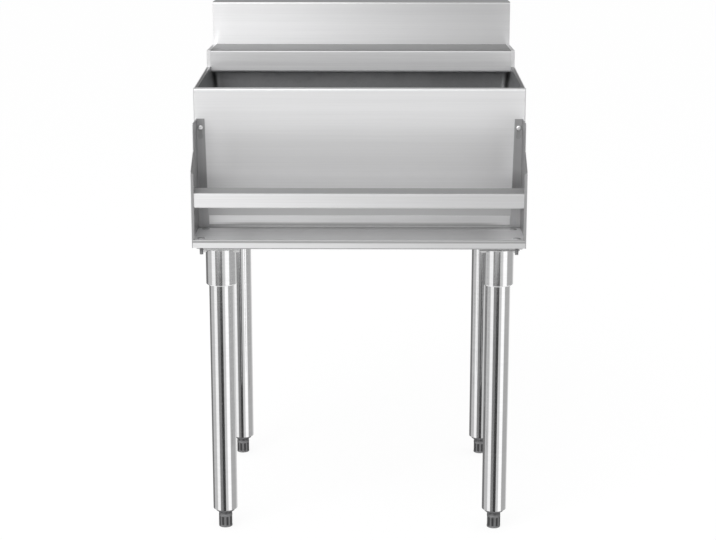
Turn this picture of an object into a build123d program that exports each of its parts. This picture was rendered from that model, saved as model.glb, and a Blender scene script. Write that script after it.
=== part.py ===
from build123d import *
import math
import os

# Body panels: heights are above the floor, all sizes in millimetres
body_width = 540.0
body_depth = 457.0
body_height = 266.0
rim_height = 762.0
rim_depth = 14.0
sheet = 1.2
bend = 3.0
seam_gap = 0.2

# Sloping side edges, rear deck and backsplash
side_lip = 6.5
lip_round = 1.2
slope_rise = 12.0
deck_rise = 40.0
deck_depth = 220.0
deck_face = 38.0
deck_hem = 12.0
splash_height = 76.0
splash_depth = 95.0
splash_foot = 14.0

# Ice liner, its drain pad and the foam round it
chase_depth = 157.0
collar_drop = 7.0
side_draft = 22.0
end_draft = 20.0
corner_radius = 10.0
floor_fall = 8.0
pad_size = 110.0
floor_foam = 26.0
back_foam = 30.0
foam_top_drop = 14.0
foam_gap = 0.3

# Bottom panel and the two channels that carry the legs
pan_flange = 12.0
channel_height = 23.8
channel_width = 70.0
channel_wall = 2.0
channel_gap = 0.5

# Legs: tube, socket, threaded plug and adjusting foot
leg_inset_x = 38.0
leg_inset_front = 28.0
leg_inset_back = 29.0
tube_diameter = 41.3
tube_wall = 1.5
tube_bottom = 34.0
tube_head_gap = 2.0
socket_diameter = 50.8
socket_length = 62.0
socket_fit = 0.15
socket_chamfer = 1.5
socket_plate_x = 66.0
socket_plate_y = 52.0
socket_plate = 3.0
plug_length = 35.0
plug_fit = 0.1
plug_nose = 4.5
plug_nose_diameter = 33.8
plug_tip_diameter = 31.6
foot_diameter = 23.3
foot_engaged = 33.5
foot_fit = 0.08
foot_toe_radius = 1.2
foot_chamfer = 1.5

# Socket fasteners
bolt_diameter = 6.0
bolt_hole_gap = 0.2
thread_gap = 0.1
bolt_spread_x = 27.0
bolt_spread_y = 17.0
bolt_head_diameter = 10.0
bolt_head_height = 4.0
bolt_tail = 3.0
nut_flats = 10.0
nut_height = 5.0
set_screw_diameter = 8.0
set_screw_proud = 3.5
set_screw_gap = 0.1
set_screw_height = 18.0
set_screw_key = 4.0
set_screw_key_depth = 3.0

# Drain through the liner floor
gasket_height = 1.5
gasket_gap = 1.0
drain_flange_diameter = 70.0
drain_flange = 2.5
barrel_diameter = 45.0
barrel_gap = 0.5
barrel_tail = 10.0
cup_diameter = 38.0
cup_depth = 12.0
drain_bore = 26.0
washer_diameter = 62.0
washer_height = 3.0
locknut_flats = 60.0
locknut_height = 10.0
tail_diameter = 33.4
tail_thread = 32.6
tail_socket = 15.0
tail_drop = 26.0
tail_chamfer = 1.5
strainer_gap = 0.4
strainer_plate = 2.0
strainer_stem_diameter = 6.0
strainer_stem = 12.0
knob_diameter = 13.0
knob_height = 8.0
knob_round = 2.5
strainer_hole = 4.0
strainer_inner_ring = 8.0
strainer_outer_ring = 14.0
strainer_inner_holes = 6

# Speed rail: end plates with hanger ears, trough and front bar
rail_depth = 104.0
rail_inset = 4.0
rail_height = 193.5
rail_gap = 0.3
ear_top_drop = 49.0
ear_top_width = 13.5
ear_bottom_width = 17.5
ear_bottom_height = 16.5
end_plate = 1.5
plate_top_depth = 60.0
plate_top_height = 44.0
plate_front_height = 121.5
plate_corner = 2.0
plate_return = 4.5
plate_tab = 22.0
bar_top_height = 88.0
bar_height = 24.0
bar_flange = 14.0
bar_flange_rise = 6.5
bar_hem = 8.0
bar_side_gap = 0.3
rail_bend = 2.4
trough_lip = 13.5
trough_back = 20.0
trough_cove = 4.5
trough_side_gap = 1.0

# Rail fasteners
hanger_drop = 14.5
hanger_offset = 6.9
hanger_diameter = 5.0
hanger_head_diameter = 8.0
hanger_head_height = 3.2
hanger_head_round = 2.0
hanger_head_gap = 0.4
hanger_reach = 10.0
hanger_slack = 0.3
keyhole_diameter = 8.8
keyhole_drop = 14.0
nut_pocket = 1.2
rail_bolt_inset_x = 14.0
rail_bolt_inset_front = 11.0
rail_bolt_inset_back = 16.0
rail_bolt_head_diameter = 12.0
rail_bolt_head = 1.8
rail_bolt_head_round = 1.2
rail_bolt_length = 26.0

# Places worked out from the sizes: y runs from the apron towards the wall
half_width = body_width / 2
apron_y = (rail_depth - body_depth) / 2
rail_y = apron_y - rail_depth
back_y = apron_y + body_depth
panel_back_y = back_y - sheet
rim_y = apron_y + rim_depth
pan_front_y = apron_y + bend + seam_gap
deck_y = back_y - deck_depth
splash_y = back_y - splash_depth
liner_back_y = back_y - chase_depth
liner_y = (rim_y + liner_back_y) / 2
body_y = (apron_y + back_y) / 2
skirt_z = rim_height - body_height
deck_z = rim_height + deck_rise
step_z = rim_height + slope_rise
splash_top_z = deck_z + splash_height
pan_z = skirt_z + channel_height + sheet
pad_z = pan_z + floor_foam + sheet
floor_z = pad_z + floor_fall
collar_z = rim_height - collar_drop
liner_half = half_width - side_lip
slope = slope_rise / (deck_y - rim_y)

# Leg and drain places
leg_x = half_width - leg_inset_x
leg_ys = {"front": apron_y + leg_inset_front, "rear": back_y - leg_inset_back}
leg_sides = {"left": -1, "right": 1}
socket_top = skirt_z - socket_plate
socket_bottom = socket_top - socket_length
tube_top = socket_top - tube_head_gap
tube_radius = tube_diameter / 2
plug_bottom = tube_bottom - plug_nose
drain_seat = pad_z + gasket_height
drain_top = drain_seat + drain_flange
strainer_seat = drain_top - cup_depth
washer_z = pan_z - sheet - washer_height
locknut_z = washer_z - locknut_height
barrel_z = locknut_z - barrel_tail
barrel_radius = barrel_diameter / 2
passage_radius = barrel_radius + barrel_gap

# Speed rail places
rail_half = half_width - rail_inset
rail_inner = rail_half - end_plate
rail_back_y = apron_y - rail_gap
ear_top_z = rim_height - ear_top_drop
rail_z = ear_top_z - rail_height
trough_z = rail_z + trough_lip
bar_top_z = rail_z + bar_top_height
plate_front_z = rail_z + plate_front_height
plate_step_z = ear_top_z - plate_top_height
hanger_z = ear_top_z - hanger_drop
hanger_x = rail_half - hanger_offset
hanger_radius = hanger_diameter / 2
rail_bolt_x = rail_half - rail_bolt_inset_x
rail_bolt_ys = (rail_y + rail_bolt_inset_front, rail_back_y - rail_bolt_inset_back)


def block(x0, x1, y0, y1, z0, z1):
    """Box between two opposite corners."""
    return Pos((x0 + x1) / 2, (y0 + y1) / 2, (z0 + z1) / 2) * Box(x1 - x0, y1 - y0, z1 - z0)


def upright_rod(radius, x, y, z0, z1):
    """Round rod along Z."""
    return Pos(x, y, (z0 + z1) / 2) * Cylinder(radius, z1 - z0)


def depth_rod(radius, x, z, y0, y1):
    """Round rod along Y."""
    return Pos(x, (y0 + y1) / 2, z) * Rot(90, 0, 0) * Cylinder(radius, y1 - y0)


def hex_prism(flats, height):
    """Hexagonal prism standing on the origin."""
    outline = RegularPolygon(flats / 2, 6, major_radius=False)
    return extrude(outline, amount=height)


def turned(points):
    """Solid of revolution about Z from (radius, height) points."""
    return revolve(Plane.XZ * Polygon(*points, align=None), Axis.Z)


def yz_prism(points, x0, x1):
    """Outline of (y, z) points carried from x0 to x1."""
    return extrude(Plane.YZ.offset(x0) * Polygon(*points, align=None), amount=x1 - x0, dir=(1, 0, 0))


def folded_sheet(path, thickness, inner_bends, x0, x1):
    """Sheet of even thickness folded along the (y, z) path of its middle, carried from x0 to x1."""
    line = FilletPolyline(*path, radius=[inner_bend + thickness / 2 for inner_bend in inner_bends])
    return extrude(Plane.YZ.offset(x0) * trace(line, line_width=thickness), amount=x1 - x0, dir=(1, 0, 0))


def mirrored(solid):
    """The same piece for the other side of the bin."""
    return mirror(solid, about=Plane.YZ)


def lip_under_z(y):
    """Height of the underside of the sloping lip at a depth."""
    return rim_height + slope * (y - rim_y) - sheet * math.hypot(1, slope)


def make_front_apron():
    """Front skin with returns at its top and sides and holes for the rail's hanger screws."""
    outer = block(-half_width, half_width, apron_y, rim_y, skirt_z, rim_height)
    outer = fillet(outer.faces().sort_by(Axis.Y)[0].edges().sort_by(Axis.Z)[1:], bend)
    inner_half = half_width - sheet
    inner = block(-inner_half, inner_half, apron_y + sheet, rim_y + sheet, skirt_z - sheet, rim_height - sheet)
    inner = fillet(inner.faces().sort_by(Axis.Y)[0].edges().sort_by(Axis.Z)[1:], bend - sheet)
    pan = outer - inner
    for side in leg_sides.values():
        hole_radius = hanger_radius + thread_gap
        pan -= depth_rod(hole_radius, side * hanger_x, hanger_z, apron_y - sheet, apron_y + 2 * sheet)
    return pan


def make_side_panel():
    """Right side skin: flat panel with a lip along its sloping edge, the step and the deck."""
    outline = [
        (rim_y, skirt_z),
        (rim_y, rim_height),
        (deck_y, step_z),
        (deck_y, deck_z),
        (panel_back_y, deck_z),
        (panel_back_y, skirt_z),
    ]
    outer = yz_prism(outline, liner_half, half_width)
    outside = outer.faces().sort_by(Axis.X)[-1]
    top_edges = [edge for edge in outside.edges() if edge.center().Z > rim_height]
    outer = fillet(top_edges, lip_round)
    hollow = [
        (rim_y - sheet, skirt_z - sheet),
        (rim_y - sheet, lip_under_z(rim_y - sheet)),
        (deck_y + sheet, lip_under_z(deck_y + sheet)),
        (deck_y + sheet, deck_z - sheet),
        (back_y, deck_z - sheet),
        (back_y, skirt_z - sheet),
    ]
    return outer - yz_prism(hollow, liner_half - sheet, half_width - sheet)


def make_rear_deck():
    """Shelf behind the opening with a turned-down front face and a hem."""
    mid = sheet / 2
    face_z = deck_z - deck_face
    path = [
        (deck_y + deck_hem, face_z + mid),
        (deck_y + mid, face_z + mid),
        (deck_y + mid, deck_z - mid),
        (panel_back_y, deck_z - mid),
    ]
    deck_half = liner_half - seam_gap
    return folded_sheet(path, sheet, 2 * [bend - sheet], -deck_half, deck_half)


def make_backsplash():
    """Upstand on the deck: face, top turned back to the wall and a foot inside."""
    mid = sheet / 2
    path = [
        (splash_y + mid, deck_z),
        (splash_y + mid, splash_top_z - mid),
        (back_y, splash_top_z - mid),
    ]
    folded = folded_sheet(path, sheet, [bend - sheet], -half_width, half_width)
    foot_half = half_width - sheet
    foot = block(-foot_half, foot_half, splash_y + mid, splash_y + splash_foot, deck_z, deck_z + sheet)
    return folded + foot


def make_splash_end_cap():
    """Right end plate that closes the backsplash."""
    cap = block(half_width - sheet, half_width, splash_y + sheet, panel_back_y, deck_z, splash_top_z - sheet)
    corner = cap.edges().filter_by(Axis.X).sort_by(Axis.Y)[:2].sort_by(Axis.Z)[-1]
    return fillet(corner, bend)


def make_back_panel():
    """Rear skin from the skirt to the top of the backsplash."""
    return block(-half_width, half_width, panel_back_y, back_y, skirt_z, splash_top_z - sheet)


def make_bottom_panel():
    """Shallow tray, flanges down, that closes the body and lies on the leg channels."""
    outer_half = half_width - sheet
    inner_half = outer_half - sheet
    flange_z = pan_z - pan_flange
    outer = block(-outer_half, outer_half, pan_front_y, panel_back_y, flange_z, pan_z)
    inner = block(
        -inner_half, inner_half, pan_front_y + sheet, panel_back_y - sheet, flange_z - sheet, pan_z - sheet
    )
    return outer - inner - upright_rod(passage_radius, 0, liner_y, pan_z - 2 * sheet, pan_z + sheet)


def liner_form(grow, top_z, radius):
    """Tub envelope: straight collar, drafted walls and a floor that falls to the drain pad."""
    width = 2 * (liner_half + grow)
    depth = liner_back_y - rim_y + 2 * grow
    sizes = (
        (collar_z, width, depth),
        (floor_z - grow, width - 2 * side_draft, depth - 2 * end_draft),
        (pad_z - grow, pad_size + 2 * grow, pad_size + 2 * grow),
    )
    sections = []
    for z, size_x, size_y in sizes:
        outline = RectangleRounded(size_x, size_y, radius) if radius else Rectangle(size_x, size_y)
        sections.append(Pos(0, liner_y, z) * outline)
    return loft(sections, ruled=True) + extrude(sections[0], amount=top_z - collar_z)


def make_ice_liner():
    """Welded tub whose walls stop under the lips, the apron's rim and the deck."""
    tub = liner_form(sheet, deck_z - sheet, 0) - liner_form(0, deck_z, corner_radius)
    front_y = rim_y - 2 * sheet
    above_lips = [
        (front_y, lip_under_z(front_y)),
        (deck_y + sheet, lip_under_z(deck_y + sheet)),
        (deck_y + sheet, deck_z),
        (front_y, deck_z),
    ]
    tub -= yz_prism(above_lips, -half_width, half_width)
    return tub - upright_rod(passage_radius, 0, liner_y, pad_z - 2 * sheet, pad_z + sheet)


def make_foam_insulation():
    """Foam between the liner and the skins, with a passage for the drain and pockets for two nuts."""
    foam_half = half_width - bend
    front_y = apron_y + sheet
    foam = block(-foam_half, foam_half, front_y, liner_back_y + back_foam, pan_z, rim_height - foam_top_drop)
    foam -= liner_form(sheet + foam_gap, deck_z, 0)
    foam -= upright_rod(passage_radius, 0, liner_y, pan_z - sheet, floor_z)
    pocket_radius = nut_flats / 2 + nut_pocket
    for side in leg_sides.values():
        pocket_y = apron_y + hanger_reach + nut_pocket
        foam -= depth_rod(pocket_radius, side * hanger_x, hanger_z, apron_y, pocket_y)
    return foam


def make_leg_channel():
    """Right-hand channel, open at the top, that ties a front and a rear leg to the body."""
    x0 = leg_x - channel_width / 2
    x1 = leg_x + channel_width / 2
    y0 = pan_front_y + sheet + channel_gap
    y1 = panel_back_y - sheet - channel_gap
    top_z = skirt_z + channel_height
    outer = block(x0, x1, y0, y1, skirt_z, top_z)
    inner = block(
        x0 + channel_wall, x1 - channel_wall, y0 - sheet, y1 + sheet, skirt_z + channel_wall, top_z + sheet
    )
    channel = outer - inner
    hole_radius = bolt_diameter / 2 + bolt_hole_gap
    for y in leg_ys.values():
        for bolt_x, bolt_y in bolt_places(leg_x, y):
            channel -= upright_rod(hole_radius, bolt_x, bolt_y, skirt_z - sheet, skirt_z + 2 * channel_wall)
    return channel


def bolt_places(x, y):
    """Centres of the four bolts round one leg."""
    return [(x + i * bolt_spread_x, y + j * bolt_spread_y) for i in (-1, 1) for j in (-1, 1)]


def make_leg_socket(x, y):
    """Cup that takes the leg tube, under a plate bolted to the channel."""
    half_x = socket_plate_x / 2
    half_y = socket_plate_y / 2
    plate = block(x - half_x, x + half_x, y - half_y, y + half_y, socket_top, skirt_z)
    hole_radius = bolt_diameter / 2 + bolt_hole_gap
    for bolt_x, bolt_y in bolt_places(x, y):
        plate -= upright_rod(hole_radius, bolt_x, bolt_y, socket_top - sheet, skirt_z + sheet)
    cup = upright_rod(socket_diameter / 2, x, y, socket_bottom, socket_top)
    cup = chamfer(cup.edges().sort_by(Axis.Z)[0], socket_chamfer)
    cup -= upright_rod(tube_radius + socket_fit, x, y, socket_bottom - sheet, socket_top)
    inward = math.copysign(1, body_y - y)
    screw_z = socket_bottom + set_screw_height
    reach = sorted((y, y + inward * socket_diameter))
    cup -= depth_rod(set_screw_diameter / 2 + thread_gap, x, screw_z, *reach)
    return plate + cup


def make_set_screw(x, y):
    """Hollow set screw that holds a tube in its socket, on the side that faces the middle of the bin."""
    inward = math.copysign(1, body_y - y)
    screw_z = socket_bottom + set_screw_height
    start = y + inward * (tube_radius + set_screw_gap)
    end = y + inward * (socket_diameter / 2 + set_screw_proud)
    screw = depth_rod(set_screw_diameter / 2, x, screw_z, *sorted((start, end)))
    key_place = Pos(x, end - inward * set_screw_key_depth, screw_z) * Rot(-90 * inward, 0, 0)
    return screw - key_place * hex_prism(set_screw_key, set_screw_diameter)


def make_socket_bolt(x, y):
    """Bolt up through a socket plate and the channel, head below."""
    head = Pos(x, y, socket_top - bolt_head_height) * hex_prism(bolt_head_diameter, bolt_head_height)
    top_z = skirt_z + channel_wall + nut_height + bolt_tail
    return head + upright_rod(bolt_diameter / 2, x, y, socket_top - sheet, top_z)


def make_nut(x, y, z):
    """Hexagon nut with its lower face at z."""
    nut = Pos(x, y, z) * hex_prism(nut_flats, nut_height)
    return nut - upright_rod(bolt_diameter / 2 + thread_gap, x, y, z - sheet, z + nut_height + sheet)


def make_leg_tube(x, y):
    """Round leg tube from the plug to the socket's head."""
    outer = upright_rod(tube_radius, x, y, tube_bottom, tube_top)
    return outer - upright_rod(tube_radius - tube_wall, x, y, tube_bottom - sheet, tube_top + sheet)


def make_leg_plug(x, y):
    """Threaded plug pressed into the tube's end, with a short tapered nose below."""
    bore = foot_diameter / 2 + foot_fit
    shank = tube_radius - tube_wall - plug_fit
    points = [
        (bore, plug_bottom),
        (plug_tip_diameter / 2, plug_bottom),
        (plug_nose_diameter / 2, tube_bottom),
        (shank, tube_bottom),
        (shank, tube_bottom + plug_length),
        (bore, tube_bottom + plug_length),
    ]
    return Pos(x, y, 0) * turned(points)


def make_foot(x, y):
    """Adjusting foot: thick screw with a rounded toe that stands on the floor."""
    foot = upright_rod(foot_diameter / 2, x, y, 0, plug_bottom + foot_engaged)
    foot = fillet(foot.edges().sort_by(Axis.Z)[0], foot_toe_radius)
    return chamfer(foot.edges().sort_by(Axis.Z)[-1], foot_chamfer)


def make_drain_body():
    """Flanged drain with a cup for the strainer and a threaded barrel."""
    tail_bore = tail_thread / 2 + thread_gap
    points = [
        (cup_diameter / 2, drain_top),
        (drain_flange_diameter / 2, drain_top),
        (drain_flange_diameter / 2, drain_seat),
        (barrel_radius, drain_seat),
        (barrel_radius, barrel_z),
        (tail_bore, barrel_z),
        (tail_bore, barrel_z + tail_socket),
        (drain_bore / 2, barrel_z + tail_socket),
        (drain_bore / 2, strainer_seat),
        (cup_diameter / 2, strainer_seat),
    ]
    return Pos(0, liner_y, 0) * turned(points)


def make_ring(inner_radius, outer_radius, z0, z1):
    """Flat ring round the drain."""
    ring = upright_rod(outer_radius, 0, liner_y, z0, z1)
    return ring - upright_rod(inner_radius, 0, liner_y, z0 - sheet, z1 + sheet)


def make_drain_locknut():
    """Large nut that pulls the drain down onto its gasket."""
    nut = Pos(0, liner_y, locknut_z) * hex_prism(locknut_flats, locknut_height)
    return nut - upright_rod(barrel_radius + thread_gap, 0, liner_y, locknut_z - sheet, washer_z + sheet)


def make_drain_tailpiece():
    """Pipe screwed into the barrel up to a shoulder, for a hose or a waste pipe."""
    bottom_z = skirt_z - tail_drop
    thread_top = barrel_z + tail_socket
    points = [
        (drain_bore / 2, bottom_z),
        (tail_diameter / 2 - tail_chamfer, bottom_z),
        (tail_diameter / 2, bottom_z + tail_chamfer),
        (tail_diameter / 2, barrel_z),
        (tail_thread / 2, barrel_z),
        (tail_thread / 2, thread_top),
        (drain_bore / 2, thread_top),
    ]
    return Pos(0, liner_y, 0) * turned(points)


def make_drain_strainer():
    """Perforated disc with a knob that lies loose in the drain cup."""
    plate_top = strainer_seat + strainer_plate
    stem_top = plate_top + strainer_stem
    disc = upright_rod(cup_diameter / 2 - strainer_gap, 0, liner_y, strainer_seat, plate_top)
    rings = {strainer_inner_ring: strainer_inner_holes, strainer_outer_ring: 2 * strainer_inner_holes}
    for ring_radius, count in rings.items():
        for turn in PolarLocations(ring_radius, count):
            disc -= Pos(0, liner_y, strainer_seat) * turn * Cylinder(strainer_hole / 2, 4 * strainer_plate)
    stem = upright_rod(strainer_stem_diameter / 2, 0, liner_y, strainer_seat, stem_top)
    knob = upright_rod(knob_diameter / 2, 0, liner_y, stem_top, stem_top + knob_height)
    knob = fillet(knob.edges().filter_by(GeomType.CIRCLE), knob_round)
    return disc + stem + knob


def make_rail_end_plate():
    """Right end of the speed rail: side plate, hanger ear, front return and a tab under the floor."""
    step_y = rail_back_y - plate_top_depth
    side = [
        (rail_back_y, rail_z),
        (rail_back_y, ear_top_z),
        (step_y, ear_top_z),
        (step_y, plate_step_z),
        (rail_y, plate_front_z),
        (rail_y, rail_z),
    ]
    plate = yz_prism(side, rail_inner, rail_half)
    upper = [edge for edge in plate.edges().filter_by(Axis.X) if edge.center().Z > trough_z]
    corners = [edge for edge in upper if edge.center().Y < step_y + end_plate]
    plate = fillet(corners, plate_corner)
    ear_outline = [
        (rail_half, ear_top_z),
        (rail_half - ear_top_width, ear_top_z),
        (rail_half - ear_bottom_width, rail_z + ear_bottom_height),
        (rail_half, rail_z + ear_bottom_height),
    ]
    ear_face = Plane.XZ.offset(-rail_back_y) * Polygon(*ear_outline, align=None)
    ear = extrude(ear_face, amount=end_plate, dir=(0, -1, 0))
    return_z = trough_z + bar_side_gap
    return_x = rail_half - plate_return
    flange = block(return_x, rail_half, rail_y, rail_y + end_plate, return_z, plate_front_z - plate_corner)
    tab_top = trough_z - sheet
    tab_y = rail_y + rail_bend + seam_gap
    tab = block(rail_half - plate_tab, rail_half, tab_y, rail_back_y, tab_top - end_plate, tab_top)
    for y in rail_bolt_ys:
        hole_radius = bolt_diameter / 2 + bolt_hole_gap
        tab -= upright_rod(hole_radius, rail_bolt_x, y, tab_top - 2 * end_plate, tab_top + sheet)
    return plate + flange + tab + (ear - make_keyhole())


def make_keyhole():
    """Keyhole cut for a hanger screw: narrow slot above, hole that the head passes below."""
    slot_radius = hanger_radius + hanger_slack
    y0 = rail_back_y - 2 * end_plate
    y1 = rail_back_y + end_plate
    hole_z = hanger_z - keyhole_drop
    slot = block(hanger_x - slot_radius, hanger_x + slot_radius, y0, y1, hole_z, hanger_z)
    slot += depth_rod(slot_radius, hanger_x, hanger_z, y0, y1)
    return slot + depth_rod(keyhole_diameter / 2, hanger_x, hole_z, y0, y1)


def make_rail_trough():
    """Floor of the rail with a turned-down front lip and a coved upstand at the back between the ears."""
    mid = sheet / 2
    lip_bend = rail_bend - sheet
    lip = [(rail_y + mid, rail_z), (rail_y + mid, trough_z - mid)]
    floor = folded_sheet(lip + [(rail_back_y, trough_z - mid)], sheet, [lip_bend], -rail_inner, rail_inner)
    back_half = rail_half - ear_bottom_width - trough_side_gap
    floor -= block(-back_half, back_half, rail_back_y - trough_cove, rail_back_y, trough_z - sheet, trough_z)
    upstand = [(rail_back_y - mid, trough_z - mid), (rail_back_y - mid, trough_z + trough_back)]
    trough = floor + folded_sheet(lip + upstand, sheet, [lip_bend, trough_cove], -back_half, back_half)
    for side in leg_sides.values():
        for y in rail_bolt_ys:
            hole_radius = bolt_diameter / 2 + bolt_hole_gap
            trough -= upright_rod(hole_radius, side * rail_bolt_x, y, trough_z - 2 * sheet, trough_z + sheet)
    return trough


def make_rail_front_bar():
    """Bar that keeps bottles in: face, leaning top flange and bottom hem, behind the end plates' returns."""
    mid = sheet / 2
    face_y = rail_y + end_plate + mid
    bar_z = bar_top_z - bar_height
    bar_half = rail_inner - bar_side_gap
    path = [
        (face_y + bar_hem, bar_z + mid),
        (face_y, bar_z + mid),
        (face_y, bar_top_z - mid),
        (face_y + bar_flange, bar_top_z - mid + bar_flange_rise),
    ]
    return folded_sheet(path, sheet, 2 * [rail_bend - sheet], -bar_half, bar_half)


def make_rail_bolt(x, y):
    """Round-headed bolt down through the trough's floor and an end plate's tab."""
    head = upright_rod(rail_bolt_head_diameter / 2, x, y, trough_z, trough_z + rail_bolt_head)
    head = fillet(head.edges().filter_by(GeomType.CIRCLE).sort_by(Axis.Z)[-1], rail_bolt_head_round)
    return head + upright_rod(bolt_diameter / 2, x, y, trough_z - rail_bolt_length, trough_z + sheet)


def make_hanger_screw(x):
    """Shoulder screw in the apron that an ear hangs on."""
    head_y = rail_back_y - end_plate - hanger_head_gap
    head = depth_rod(hanger_head_diameter / 2, x, hanger_z, head_y - hanger_head_height, head_y)
    head = fillet(head.edges().filter_by(GeomType.CIRCLE).sort_by(Axis.Y)[0], hanger_head_round)
    return head + depth_rod(hanger_radius, x, hanger_z, head_y - sheet, apron_y + hanger_reach)


def make_hanger_nut(x):
    """Weld nut behind the apron."""
    nut = Pos(x, apron_y + sheet, hanger_z) * Rot(-90, 0, 0) * hex_prism(nut_flats, nut_height)
    hole_radius = hanger_radius + thread_gap
    return nut - depth_rod(hole_radius, x, hanger_z, apron_y, apron_y + 2 * sheet + nut_height)


def make_parts():
    """Every node of the bin by name."""
    sides = leg_sides.values()
    side_panel = make_side_panel()
    end_cap = make_splash_end_cap()
    channel = make_leg_channel()
    rail_end = make_rail_end_plate()
    legs = {f"{row}_{name}": (side * leg_x, y) for row, y in leg_ys.items() for name, side in leg_sides.items()}
    bolts = [place for x, y in legs.values() for place in bolt_places(x, y)]
    rail_bolts = [(side * rail_bolt_x, y) for side in sides for y in rail_bolt_ys]
    rail_nut_z = trough_z - sheet - end_plate - nut_height
    parts = {
        "front_apron": make_front_apron(),
        "left_side_panel": mirrored(side_panel),
        "right_side_panel": side_panel,
        "back_panel": make_back_panel(),
        "bottom_panel": make_bottom_panel(),
        "rear_deck": make_rear_deck(),
        "backsplash": make_backsplash(),
        "left_splash_end_cap": mirrored(end_cap),
        "right_splash_end_cap": end_cap,
        "ice_liner": make_ice_liner(),
        "foam_insulation": make_foam_insulation(),
        "left_leg_channel": mirrored(channel),
        "right_leg_channel": channel,
        "socket_bolts": Part() + [make_socket_bolt(*place) for place in bolts],
        "socket_nuts": Part() + [make_nut(*place, skirt_z + channel_wall) for place in bolts],
        "socket_set_screws": Part() + [make_set_screw(*place) for place in legs.values()],
        "drain_body": make_drain_body(),
        "drain_gasket": make_ring(passage_radius, drain_flange_diameter / 2 - gasket_gap, pad_z, drain_seat),
        "drain_washer": make_ring(passage_radius, washer_diameter / 2, washer_z, pan_z - sheet),
        "drain_locknut": make_drain_locknut(),
        "drain_tailpiece": make_drain_tailpiece(),
        "drain_strainer": make_drain_strainer(),
        "left_rail_end_plate": mirrored(rail_end),
        "right_rail_end_plate": rail_end,
        "rail_trough": make_rail_trough(),
        "rail_front_bar": make_rail_front_bar(),
        "rail_floor_bolts": Part() + [make_rail_bolt(*place) for place in rail_bolts],
        "rail_floor_nuts": Part() + [make_nut(*place, rail_nut_z) for place in rail_bolts],
        "rail_hanger_screws": Part() + [make_hanger_screw(side * hanger_x) for side in sides],
        "rail_hanger_nuts": Part() + [make_hanger_nut(side * hanger_x) for side in sides],
    }
    for name, place in legs.items():
        parts[f"{name}_leg_socket"] = make_leg_socket(*place)
        parts[f"{name}_leg_tube"] = make_leg_tube(*place)
        parts[f"{name}_leg_plug"] = make_leg_plug(*place)
        parts[f"{name}_foot"] = make_foot(*place)
    return parts


os.makedirs("parts", exist_ok=True)
for node, solid in make_parts().items():
    solid.label = node
    export_step(solid, f"parts/{node}.step")
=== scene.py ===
"""Dresses the underbar ice bin in a pale studio: brushed sheet, polished legs, threaded feet, fasteners.

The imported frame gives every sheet, tube and fitting its place and size in metres. This script gives each of
them a finish, puts detailed turned and threaded pieces in place of the plain ones, and sets up the camera
and the light.
"""
from __future__ import annotations

import logging
import math
from dataclasses import dataclass, field
from enum import Enum
from functools import reduce
from operator import mul
from typing import Iterable, Mapping, Optional, Sequence, Union

import bpy
import numpy as np
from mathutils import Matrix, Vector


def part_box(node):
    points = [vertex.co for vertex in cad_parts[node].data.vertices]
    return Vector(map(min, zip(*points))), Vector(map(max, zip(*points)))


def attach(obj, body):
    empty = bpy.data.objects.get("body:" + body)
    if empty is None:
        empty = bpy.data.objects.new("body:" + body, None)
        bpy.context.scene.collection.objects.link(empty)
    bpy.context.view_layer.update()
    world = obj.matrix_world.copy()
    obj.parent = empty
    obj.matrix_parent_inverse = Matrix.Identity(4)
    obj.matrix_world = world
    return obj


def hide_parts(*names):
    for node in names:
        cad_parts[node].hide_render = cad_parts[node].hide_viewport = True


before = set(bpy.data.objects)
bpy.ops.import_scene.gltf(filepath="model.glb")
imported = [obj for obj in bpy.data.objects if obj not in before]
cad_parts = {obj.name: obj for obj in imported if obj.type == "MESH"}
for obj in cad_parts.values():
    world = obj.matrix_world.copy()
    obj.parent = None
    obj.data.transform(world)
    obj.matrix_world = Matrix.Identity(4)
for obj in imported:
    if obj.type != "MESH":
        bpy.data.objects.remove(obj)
log = logging.getLogger("ice_bin")

Colour = tuple[float, float, float]
Span = tuple[float, float]
Section = tuple[np.ndarray, np.ndarray]
MILLIMETRE = 0.001
FULL_TURN = 2.0 * math.pi
SHARP_ANGLE = math.radians(32.0)
NOISE_MEAN = 0.5
# Shares of half a hexagon's flats: how high its chamfer is, and where the chamfer's cone starts.
CHAMFER_HEIGHT = 0.115
CONE_START = 0.96
CHAMFER_ROWS = 4
# Share of a nut's flats by which the mouths of its bore are eased.
NUT_EASE = 0.05
HOLLOW = "hollow"
WHITE = (1.0, 1.0, 1.0, 1.0)
SIDES = (("left", 1.0), ("right", -1.0))


class Wire:
    """A node's output that takes part in Python arithmetic: each operator adds one Math node."""

    def __init__(self, graph: Graph, socket: bpy.types.NodeSocket) -> None:
        """Keeps the graph that the output belongs to."""
        self.graph = graph
        self.socket = socket

    def __add__(self, other: Term) -> Wire:
        """Sum of two values."""
        return self.graph.maths("ADD", self, other)

    def __radd__(self, other: Term) -> Wire:
        """Sum with a number on the left."""
        return self.graph.maths("ADD", other, self)

    def __sub__(self, other: Term) -> Wire:
        """Difference of two values."""
        return self.graph.maths("SUBTRACT", self, other)

    def __rsub__(self, other: Term) -> Wire:
        """Difference with a number on the left."""
        return self.graph.maths("SUBTRACT", other, self)

    def __mul__(self, other: Term) -> Wire:
        """Product of two values."""
        return self.graph.maths("MULTIPLY", self, other)

    def __rmul__(self, other: Term) -> Wire:
        """Product with a number on the left."""
        return self.graph.maths("MULTIPLY", other, self)

    def __neg__(self) -> Wire:
        """Value with its sign turned."""
        return self.graph.maths("MULTIPLY", self, -1.0)


Term = Union[Wire, float, int]
SocketValue = Union[Wire, float, int, Sequence[float]]


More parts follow.
